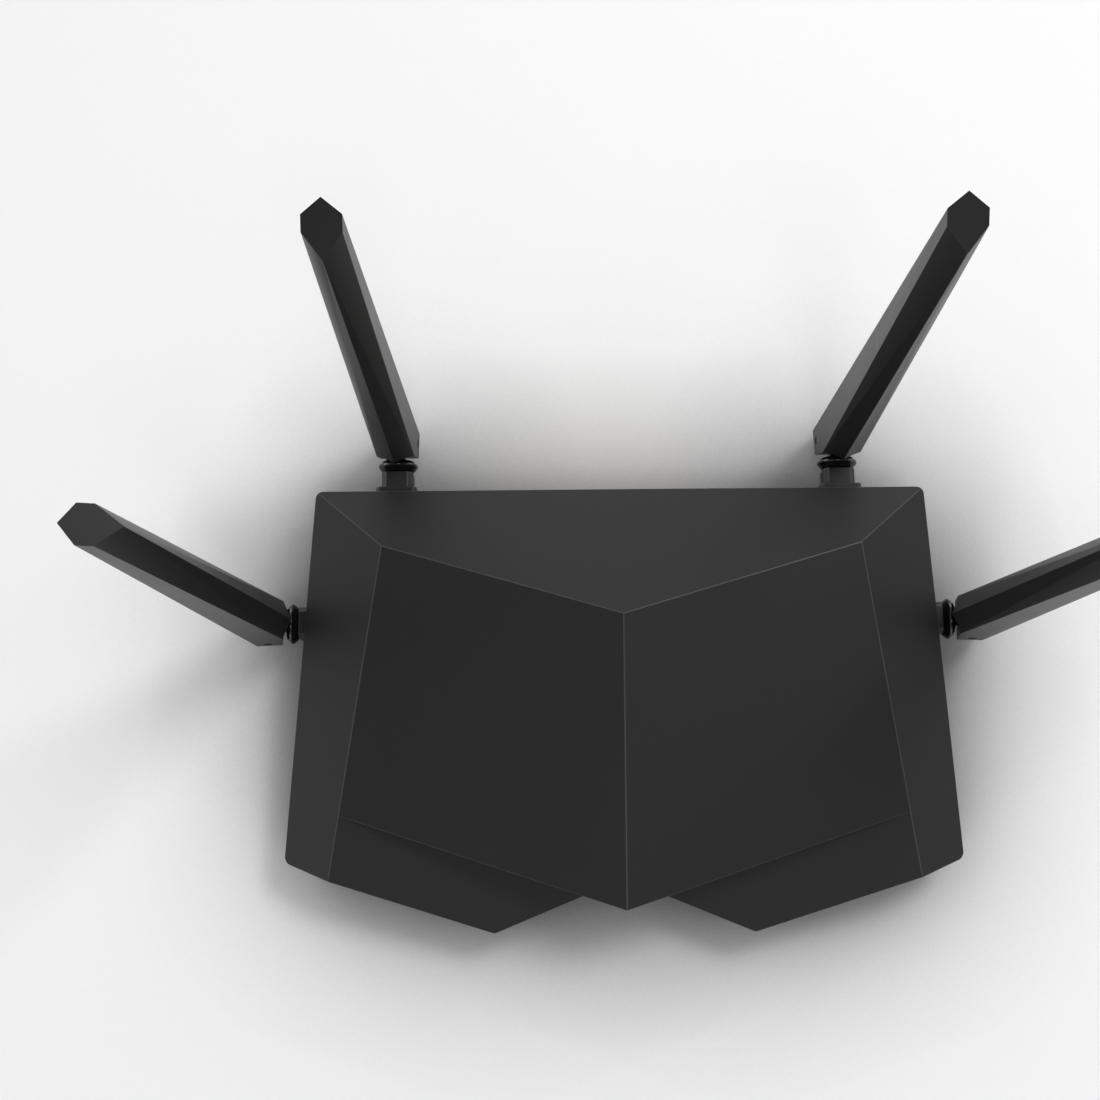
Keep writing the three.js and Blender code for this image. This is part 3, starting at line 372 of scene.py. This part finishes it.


# A CAD solid with its convex edges rounded: doubles merged, flat faces joined, then its longer edges bevelled, in
# one or more rounds. The strips that a bevel makes carry crease = 1, for their painted highlight colour and smoother
# finish.
def softenedCopy(node, name, ownLook):
    look = {**softLook, **ownLook}
    mesh = bpy.data.meshes.new(name)
    work = bmesh.new()
    work.from_mesh(nodes[node].data)
    bmesh.ops.remove_doubles(work, verts=work.verts, dist=2 * weldGap * mm)
    if look["joinFlats"]:
        flatAngle = math.radians(look["joinAngle"])
        bmesh.ops.dissolve_limit(work, angle_limit=flatAngle, verts=work.verts, edges=work.edges)
    crease = work.faces.layers.float.new("crease")
    for radius, least in look["rounds"]:
        chosen = []
        for edge in work.edges:
            if not edge.is_manifold or not edge.is_convex or any(f[crease] for f in edge.link_faces):
                continue
            angle = edge.calc_face_angle(0)
            direction = (edge.verts[1].co - edge.verts[0].co).normalized()
            strip = abs(direction.z) > look["upright"] and angle < math.radians(look["strip"])
            if angle > math.radians(look["flat"]) and edge.calc_length() > least * mm and not strip:
                chosen.append(edge)
        if chosen:
            clamped = not (look["fullWidth"] and least > look["fullFrom"])
            made = bmesh.ops.bevel(work, geom=chosen, offset=radius * mm, segments=look["segments"], profile=0.5,
                                   affect="EDGES", clamp_overlap=clamped)
            for face in made["faces"]:
                face[crease] = 1.0
    shadeSmooth(work, look["sharp"])
    work.to_mesh(mesh)
    work.free()
    return weighNormals(bpy.data.objects.new(name, mesh))


# A grid of points as quads: each row joins the next, the columns close round, and poles are merged.
def gridPiece(name, points, sharp=40):
    rows, columns = points.shape[:2]
    r, c = [a.ravel() for a in np.meshgrid(np.arange(rows - 1), np.arange(columns), indexing="ij")]
    here, beside = r * columns + c, r * columns + (c + 1) % columns
    faces = np.stack([here, beside, beside + columns, here + columns], axis=1)
    mesh = bpy.data.meshes.new(name)
    mesh.from_pydata(points.reshape(-1, 3).tolist(), [], faces.tolist())
    work = bmesh.new()
    work.from_mesh(mesh)
    bmesh.ops.remove_doubles(work, verts=work.verts, dist=weldGap * mm)
    bmesh.ops.dissolve_degenerate(work, edges=work.edges, dist=weldGap * mm)
    shadeSmooth(work, sharp)
    work.to_mesh(mesh)
    work.free()
    return bpy.data.objects.new(name, mesh)


# A turned shape: each profile point (radius, height) goes round the axis. The result stands on local Z.
def turnedPoints(profile, sides):
    radius, height = np.array(profile, float).T
    angle = np.linspace(0, 2 * math.pi, sides, endpoint=False)
    return np.stack([np.outer(radius, np.cos(angle)), np.outer(radius, np.sin(angle)),
                     np.repeat(height[:, None], sides, axis=1)], axis=2)


# A profile with its corners rounded: each corner becomes a short arc, a quadratic blend of its two sides.
def roundedProfile(points, radius, steps=4):
    points = np.array(points, float)
    result = [points[0]]
    t = np.linspace(0, 1, steps)[:, None]
    for before, corner, after in zip(points[:-2], points[1:-1], points[2:]):
        back, on = before - corner, after - corner
        backLength, onLength = np.linalg.norm(back), np.linalg.norm(on)
        cut = min(radius, 0.45 * backLength, 0.45 * onLength)  # an arc never takes up half a side
        start, end = corner + back / backLength * cut, corner + on / onLength * cut
        result.extend((1 - t) ** 2 * start + 2 * t * (1 - t) * corner + t ** 2 * end)
    result.append(points[-1])
    return np.array(result)


# A round wire along a path that stays in a plane of constant x: the circle turns with the path's slope.
def wirePoints(path, radius, sides=8):
    tangent = np.gradient(path, axis=0)
    tangent /= np.linalg.norm(tangent, axis=1)[:, None]
    side = np.tile([1.0, 0, 0], (len(path), 1))
    up = np.cross(side, tangent)
    angle = np.linspace(0, 2 * math.pi, sides, endpoint=False)
    ring = side[:, None] * np.cos(angle)[None, :, None] + up[:, None] * np.sin(angle)[None, :, None]
    body = path[:, None] + radius * ring
    caps = [np.repeat(path[:1, None], sides, axis=1), body, np.repeat(path[-1:, None], sides, axis=1)]
    return np.concatenate(caps)


def moved(obj, matrix):
    obj.data.transform(matrix)
    return obj


# What a turned piece takes from its node's box: radius, height, and the move to the middle of the box's floor.
def turnedBox(node):
    low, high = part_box(node)
    floorMiddle = Matrix.Translation(((low.x + high.x) / 2, (low.y + high.y) / 2, low.z))
    return (high.x - low.x) / 2 / mm, (high.z - low.z) / mm, floorMiddle


def joinMeshes(name, objects):
    work = bmesh.new()
    for obj in objects:
        work.from_mesh(obj.data)
        bpy.data.meshes.remove(obj.data)
    mesh = bpy.data.meshes.new(name)
    work.to_mesh(mesh)
    work.free()
    return bpy.data.objects.new(name, mesh)


# ---- cover, case, windows and collars
shellLook = {"rounds": [(0.22, 12), (0.2, 0.9)], "segments": 2, "fullWidth": True}
caseLook = {"rounds": [(0.28, 0.9)], "joinFlats": False}  # a joined floor, full of openings, would shade in streaks
windowLook = {"rounds": [(0.3, 1)]}
collarLook = {"rounds": [(0.3, 0.9)]}
fitPiece(softenedCopy("top_cover", "cover_shell", shellLook), "cover", "root", ["top_cover"])
fitPiece(softenedCopy("bottom_case", "case_shell", caseLook), "case", "root", ["bottom_case"])
for side in ("left", "right"):
    node = f"status_window_{side}"
    fitPiece(softenedCopy(node, f"light_window_{side}", windowLook), "windowFrost", "root", [node])
for name in antennas:
    node = f"collar_{name}"
    fitPiece(softenedCopy(node, f"wall_{node}", collarLook), "case", "root", [node])
print("cover and case rounded")


# ---- antennas
bladeLook = {"rounds": [(0.3, 20), (0.2, 3)], "flat": 26, "strip": 0}  # the fronts twist, so their folds stay smooth
for name in antennas:
    for shell in ("front", "back"):
        node = f"blade_{shell}_{name}"
        fitPiece(softenedCopy(node, f"antenna_{shell}_{name}", bladeLook), "antenna", bodyOf(node), [node])
    paint(nodes[f"radiator_{name}"], "solderMask")
print("antenna shells rounded")


# ---- knuckles: a glossy disc with a castellated back, a tongue for the pin, and the shaft inside the wall
knuckle = {
    "discThickness": 3.8, "backChamfer": 1.9, "backLip": 0.3, "frontChamfer": 1.2, "frontEdge": 5.0, "rimRound": 0.45,
    "teeth": 12, "toothSteps": 8, "toothDepth": 0.5, "toothRing": (3.2, 4.5), "ringMargin": 0.02, "gapLevel": 0.05,
    "scoopPlace": (3.6, 2.6), "scoopRadius": 1.5, "scoopDepth": 0.35,
    "shaftRadius": 2.7, "boreRadius": 0.95, "boreEnd": 0.9,
    "headRadius": 3.5, "headTaper": (0.5, 1.1), "headLength": 1.5,
    "tongueWidth": 4.6, "tongueRadius": 3.2, "tongueRound": 0.5, "tongueSink": 0.4,
}
pinLook = {"radius": 1.15, "chamfer": (0.28, 0.23), "crown": 0.02, "endRound": 0.12, "sides": 32}


def jointPlace(name):
    return Vector(next(j["pos_m"] for j in frame["joints"] if j["name"] == name))


# local x runs along the wall, y out of it and z up
def knuckleMatrix(name):
    at = jointPlace(f"swivel_{name}")
    outwards = jointPlace(f"tilt_{name}") - at
    outwards.z = 0
    turn = math.atan2(-outwards.x, outwards.y)
    return Matrix.Translation(at) @ Matrix.Rotation(turn, 4, "Z")


# The disc is a turned profile; its back face is notched by a square wave round the axis within the tooth ring,
# and its front face is pressed in by two round scoops, each a raised cosine of the distance to its middle.
# The profile starts in the bore of the shaft, goes round the snap head and back along the shaft to the disc.
def makeDisc(name, outer, headEnd):
    k = knuckle
    front = k["discThickness"] / 2
    back = -front
    ringIn, ringOut = k["toothRing"]
    taperIn, taperLong = k["headTaper"]
    headBack = headEnd + k["headLength"]
    shaft = [(0, k["boreEnd"]), (k["boreRadius"], k["boreEnd"]), (k["boreRadius"], headEnd),
             (k["headRadius"] - taperIn, headEnd), (k["headRadius"], headEnd + taperLong),
             (k["headRadius"], headBack), (k["shaftRadius"], headBack), (k["shaftRadius"], back), (ringIn, back)]
    ringRows = [(r, back) for r in np.linspace(ringIn + k["ringMargin"], ringOut - k["ringMargin"], 3)]
    rim = roundedProfile([(ringOut, back), (outer - k["backChamfer"] + k["backLip"], back),
                          (outer, back + k["backChamfer"]), (outer, front - k["frontChamfer"]),
                          (outer - k["frontChamfer"], front), (k["frontEdge"], front)], k["rimRound"], 5)
    frontRows = [(r, front) for r in np.linspace(k["frontEdge"] - 0.1, 0.0, 16)]
    points = turnedPoints(np.vstack([shaft, ringRows, rim, frontRows]), k["teeth"] * k["toothSteps"])
    across, up, out = points[..., 0], points[..., 1], points[..., 2]
    touching = 0.001  # how close a point lies to a face that it is on
    onBack, onFront = np.abs(out - back) < touching, np.abs(out - front) < touching
    angle, radius = np.arctan2(up, across), np.hypot(across, up)
    gap = onBack & (radius > ringIn) & (radius < ringOut) & (np.cos(angle * k["teeth"]) > k["gapLevel"])
    out = out + gap * k["toothDepth"]
    for direction in (-1, 1):
        away = np.hypot(across - direction * k["scoopPlace"][0], up - k["scoopPlace"][1])
        press = 0.5 + 0.5 * np.cos(np.clip(away / k["scoopRadius"], 0, 1) * math.pi)
        out = out - onFront * press * k["scoopDepth"]
    # the turned axis becomes the outward axis y, and the disc's own y becomes up
    return gridPiece(f"knuckle_disc_{name}", np.stack([across, out, up], axis=2) * mm, sharp=32)


# How far the tilt pin lies outwards from the swivel's middle and above it, in millimetres.
def pinReach(name):
    reach = jointPlace(f"tilt_{name}") - jointPlace(f"swivel_{name}")
    return math.hypot(reach.x, reach.y) / mm, reach.z / mm


# The tongue: a rounded outline carried across its width, drawn in towards its middle by a quarter circle at both
# ends so that its edges are round.
def makeTongue(name):
    k = knuckle
    out, rise = pinReach(name)
    root = k["discThickness"] / 2 - k["tongueSink"]
    arc = np.linspace(-math.pi / 2, math.pi / 2, 17)
    tip = np.stack([out + k["tongueRadius"] * np.cos(arc), rise + k["tongueRadius"] * np.sin(arc)], axis=1)
    outline = np.vstack([[(root, rise - k["tongueRadius"])], tip, [(root, rise + k["tongueRadius"])]])
    middle = np.array([(root + out) / 2, rise])
    outwards = outline - middle
    outwards /= np.linalg.norm(outwards, axis=1)[:, None]
    half, soft = k["tongueWidth"] / 2, k["tongueRound"]
    bend = np.linspace(math.pi / 2, 0, 5)
    ends = [(-half + soft * (1 - math.sin(b)), soft * (1 - math.cos(b))) for b in bend]
    rows = []
    for x, inset in ends + [(-x, inset) for x, inset in ends[::-1]]:
        shrunk = outline - outwards * inset
        shrunk[0, 0] = shrunk[-1, 0] = root
        rows.append(np.column_stack([np.full(len(shrunk), x), shrunk]))
    first, last = [np.tile([row[0, 0], *middle], (len(row), 1)) for row in (rows[0], rows[-1])]
    return gridPiece(f"knuckle_tongue_{name}", np.array([first, *rows, last]) * mm)


# A turned pin with rounded ends, lying along local x at the end of the tongue.
def makePin(name):
    low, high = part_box(f"tilt_pin_{name}")
    half = max(high.x - low.x, high.y - low.y) / 2 / mm
    r, (inset, step), crown = pinLook["radius"], pinLook["chamfer"], pinLook["crown"]
    end = [(0, half), (r - inset, half - crown), (r, half - step)]
    profile = roundedProfile([(x, -y) for x, y in end] + [(r, 0)] + end[::-1], pinLook["endRound"])
    points = turnedPoints(profile, pinLook["sides"])
    points = np.stack([points[..., 2], points[..., 0], points[..., 1]], axis=2) + [0, *pinReach(name)]
    return gridPiece(f"hinge_pin_{name}", points * mm)


for name in antennas:
    matrix = knuckleMatrix(name)
    local = matrix.inverted()
    corners = [local @ Vector(c) for c in nodes[f"swivel_{name}"].bound_box]
    low = Vector([min(c[i] for c in corners) for i in range(3)])
    high = Vector([max(c[i] for c in corners) for i in range(3)])
    body = bodyOf(f"swivel_{name}")
    disc = moved(makeDisc(name, (high.x - low.x) / 2 / mm, low.y / mm), matrix)
    fitPiece(disc, "knuckleGloss", body, [f"swivel_{name}"])
    fitPiece(moved(makeTongue(name), matrix), "knuckleGloss", body)
    fitPiece(moved(makePin(name), matrix), "pinBlack", body, [f"tilt_pin_{name}"])
print("knuckles turned")


# ---- feet and screws
footLook = {"rimRound": 0.5, "groove": 0.25, "grooveSlope": 0.25, "grooveRadius": (3.4, 4.4), "draft": 0.25,
            "sides": 48}
screwLook = {"headRound": 0.3, "headHeight": 1.3, "headDome": 0.02, "shankRadius": 1.3, "neck": 0.2,
             "crossReach": 1.7, "crossWidth": 0.45, "crossDepth": 0.8, "crossTaper": 0.45,
             "threadPitch": 0.9, "threadDepth": 0.16, "threadEnds": (0.3, 0.6), "tip": (0.4, 0.1), "sides": 48}


# A foot is a turned pad that narrows a little downwards, with a ring groove in its sole.
def makeFoot(node):
    radius, height, floorMiddle = turnedBox(node)
    f = footLook
    inner, outer = f["grooveRadius"]
    sole = [(0, 0), (inner, 0), (inner + f["grooveSlope"], f["groove"]), (outer - f["grooveSlope"], f["groove"]),
            (outer, 0)]
    profile = roundedProfile(sole + [(radius - f["draft"], 0), (radius, height), (0, height)], f["rimRound"], 5)
    return moved(gridPiece(f"rubber_{node}", turnedPoints(profile, f["sides"]) * mm), floorMiddle)


# A screw's head is a disc of polar rows pressed in by a cross: deep where either arm's width and reach hold.
# Its shank is a turned row of shallow thread waves.
def makeScrew(node):
    radius, length, floorMiddle = turnedBox(node)
    s = screwLook
    faceRows = [(r, 0) for r in np.linspace(0, radius - s["headRound"], 15)]
    headRows = roundedProfile([(radius - s["headRound"] - 0.05, 0), (radius, s["headDome"]), (radius, s["headHeight"]),
                               (s["shankRadius"], s["headHeight"] + s["neck"])], s["headRound"], 4)
    along = np.arange(s["headHeight"] + s["threadEnds"][0], length - s["threadEnds"][1], s["threadPitch"] / 4)
    wave = 0.5 + 0.5 * np.cos(2 * math.pi * along / s["threadPitch"])
    thread = np.column_stack([s["shankRadius"] - s["threadDepth"] * wave, along])
    tip = [(s["tip"][0], length - s["tip"][1]), (0, length)]
    profile = np.vstack([faceRows, headRows, thread, tip])
    points = turnedPoints(profile, s["sides"])
    x, y = np.abs(points[..., 0]), np.abs(points[..., 1])
    onFace = np.arange(len(profile))[:, None] < len(faceRows)
    inCross = onFace & (np.minimum(x, y) < s["crossWidth"]) & (np.maximum(x, y) < s["crossReach"])
    shallower = 1 - s["crossTaper"] * np.maximum(x, y) / s["crossReach"]
    points[..., 2] += inCross * s["crossDepth"] * shallower
    return moved(gridPiece(f"steel_{node}", points * mm, sharp=30), floorMiddle)


for node in ("foot_rear_right", "foot_front_right", "foot_rear_left", "foot_front_left"):
    fitPiece(makeFoot(node), "footRubber", "root", [node])
for number in (1, 2, 3, 4):
    node = f"case_screw_{number}"
    fitPiece(makeScrew(node), "zincSteel", "root", [node])
print("feet and screws done")


# ---- sockets, inlet and buttons
socketLook = {"rounds": [(0.25, 1.2)], "strip": 0}
buttonLook = {"rounds": [(0.3, 2)], "strip": 0}
springLook = {"count": 8, "pitch": 1.02, "radius": 0.17, "steps": 14, "mouthTop": 11.2, "gap": 0.25, "front": 1.4,
              "reach": 9.0, "fall": 2.9, "bow": 1.15, "curl": 0.5, "curlFade": 14}
inletLook = {"back": 9.3, "radius": 0.99, "shoulder": 7.6, "length": 8.3, "taper": 0.25, "hole": (0.45, 0.35),
             "holeFloor": 6.8, "round": 0.12, "sides": 32}


# Eight contact wires hang from the roof of a socket: each falls by a power of its way back, a little more than
# straight, and curls down at its front by a fading exponential.
def makeSprings(node):
    low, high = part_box(node)
    s = springLook
    t = np.linspace(0, 1, s["steps"])
    back = high.y / mm - s["front"] - s["reach"] * t
    fall = s["fall"] * t ** s["bow"] + s["curl"] * np.exp(-t * s["curlFade"])
    top = low.z / mm + s["mouthTop"] - s["gap"]
    wires = []
    for i in range(s["count"]):
        x = (low.x + high.x) / 2 / mm + (i - (s["count"] - 1) / 2) * s["pitch"]
        path = np.column_stack([np.full(len(t), x), back, top - fall])
        wires.append(gridPiece("wire", wirePoints(path, s["radius"]) * mm, sharp=60))
    return joinMeshes(f"contact_springs_{node}", wires)


for node, kind in [("wan_jack", "wan"), ("lan_jack_1", "lan"), ("lan_jack_2", "lan"), ("lan_jack_3", "lan")]:
    fitPiece(softenedCopy(node, f"socket_{node}", socketLook), f"{kind}Mould", "root", [node])
    fitPiece(makeSprings(node), "contactGold", "root")


# The inlet's centre contact: a hollow-tipped turned pin over the plain one.
def makeInletPin(node):
    low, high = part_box(node)
    i = inletLook
    r, end, (mouth, bottom) = i["radius"], i["length"], i["hole"]
    profile = roundedProfile([(0, 0), (r, 0), (r, i["shoulder"]), (r - i["taper"], end), (mouth, end),
                              (bottom, i["holeFloor"]), (0, i["holeFloor"])], i["round"])
    obj = gridPiece("inlet_centre_pin", turnedPoints(profile, i["sides"]) * mm)
    base = Vector(((low.x + high.x) / 2, high.y - i["back"] * mm, (low.z + high.z) / 2))
    return moved(obj, Matrix.Translation(base) @ Matrix.Rotation(-math.pi / 2, 4, "X"))


fitPiece(softenedCopy("dc_jack", "inlet_body", socketLook), "darkMould", "root", ["dc_jack"])
fitPiece(makeInletPin("dc_jack"), "zincSteel", "root")
for node in ("reset_button", "wifi_button"):
    fitPiece(softenedCopy(node, f"{node}_cap", buttonLook), "darkMould", node, [node])
print("sockets and buttons done")


# ---- the parts inside, seen only through the vents and the wall's openings
insideLook = {"rounds": [(0.35, 2)], "strip": 0}
canLook = {"rimRound": 0.5, "crimp": 0.35, "crimpLevel": 1.8, "crimpHalf": 0.5, "dish": (0.7, 0.66), "dishDepth": 0.1,
           "sides": 40}
for node in ("cpu_shield", "radio_shield_left", "radio_shield_right"):
    fitPiece(softenedCopy(node, f"tin_{node}", insideLook), "shieldTin", "root", [node])
for node in ("lan_transformer_1", "lan_transformer_2", "reset_switch", "wifi_switch"):
    fitPiece(softenedCopy(node, f"mould_{node}", insideLook), "darkMould", "root", [node])


# The capacitor's can: a turned cylinder with a crimped groove near its foot and a shallow dish in its rounded top.
def makeCan(node):
    r, h, floorMiddle = turnedBox(node)
    c = canLook
    level, dishTop = c["crimpLevel"], h - c["dishDepth"]
    profile = roundedProfile([(0, 0), (r, 0), (r, level - c["crimpHalf"]), (r - c["crimp"], level),
                              (r, level + c["crimpHalf"]), (r, h), (c["dish"][0] * r, h), (c["dish"][1] * r, dishTop),
                              (0, dishTop)], c["rimRound"], 4)
    return moved(gridPiece(f"can_{node}", turnedPoints(profile, c["sides"]) * mm), floorMiddle)


fitPiece(makeCan("filter_capacitor"), "zincSteel", "root", ["filter_capacitor"])
plainNodes = {"circuit_board": "solderMask", "heat_sink": "sinkAluminium", "rating_label": "labelFilm"}
plainNodes.update({f"coax_{name}": "leadJacket" for name in antennas})
for node, material in plainNodes.items():
    paint(nodes[node], material)
print("inside parts painted")


# ---- floor and light
floorLook = {"size": 6.0, "dark": (0.93, 0.93, 0.93), "light": (0.96, 0.96, 0.96), "fleck": 2.0, "roughness": 0.8,
             "spread": 0.1, "shine": 0.1, "shadeReach": 60, "shadeDepth": 1.6, "shadeSamples": 8}
# Soft light all round: bright above the horizon and dim overhead, stronger from the left and from behind.
# Each stop is (sine of the height in the sky, brightness).
airLook = {"stops": [(0.0, 2.7), (0.17, 2.6), (0.34, 1.95), (0.5, 0.9), (0.62, 0.52), (0.75, 0.42), (0.87, 0.25),
                     (0.95, 0.14), (1.0, 0.11)],
           "peak": 2.7, "level": 0.92, "rightward": -0.26, "rearward": 0.36}
# Each lamp hangs in a direction from the middle of the case, at a distance in metres.
lampLooks = {
    "keyRightRear": {"towards": (0.38, 0.36, 0.86), "away": 1.4, "size": 0.4, "power": 5.8},
    "frontFill": {"towards": (0.06, -0.32, 0.95), "away": 1.3, "size": 0.22, "power": 1.4},
}


# White paper with a painted shadow: its colour sinks towards black where little of the air above it is open.
def makeFloor(look):
    half = look["size"] / 2
    mesh = bpy.data.meshes.new("paperFloor")
    mesh.from_pydata([(-half, -half, 0), (half, -half, 0), (half, half, 0), (-half, half, 0)], [], [(0, 1, 2, 3)])
    floor = bpy.data.objects.new("paperFloor", mesh)
    scene.collection.objects.link(floor)
    material, start, place = startMaterial("paperFloor")
    fleck = noiseOf(start, place, look["fleck"], detail=3.0, roughness=0.7)
    paper = fleck.blendOf(rgb(*look["dark"]), rgb(*look["light"]))
    openness = start.node("ShaderNodeAmbientOcclusion", {"samples": look["shadeSamples"]},
                          {"Distance": look["shadeReach"] * mm}, out="AO")
    # painted shadow: the paper's colour is darkened where the case and antennas hide the air above it
    shaded = (openness ** look["shadeDepth"]).blendOf(rgb(0.0), paper)
    finishMaterial(start, {"Base Color": shaded, "Roughness": look["roughness"] + fleck * look["spread"],
                           "Specular IOR Level": look["shine"]})
    mesh.materials.append(material)


def makeLamp(name, look):
    data = bpy.data.lights.new(name, "AREA")
    data.shape = "SQUARE"
    data.size = look["size"]
    data.energy = look["power"]
    lamp = bpy.data.objects.new(name, data)
    towards = Vector(look["towards"]).normalized()
    lamp.location = towards * look["away"]
    lamp.rotation_euler = towards.to_track_quat("Z", "Y").to_euler()
    scene.collection.objects.link(lamp)


# The sky's brightness goes by height through the stops, and leans sideways in proportion to the direction.
def makeAir(look):
    air = bpy.data.worlds.new("studioAir")
    air.use_nodes = True
    air.node_tree.nodes.clear()
    sky = Wire(air.node_tree)
    x, y, z = sky.node("ShaderNodeTexCoord", out="Generated").axes()
    stops = [(height, bright / look["peak"]) for height, bright in look["stops"]]
    band = sky.node("ShaderNodeValToRGB", {"stops": stops}, {"Fac": z})
    lean = 1 + x * look["rightward"] + y * look["rearward"]
    strength = lean * (look["peak"] * look["level"])
    glow = sky.node("ShaderNodeBackground", {}, {"Color": band, "Strength": strength})
    sky.node("ShaderNodeOutputWorld", {}, {"Surface": glow})
    scene.world = air


makeFloor(floorLook)
for name, look in lampLooks.items():
    makeLamp(name, look)
makeAir(airLook)
scene.view_settings.view_transform = "Standard"
print("floor and lights set")
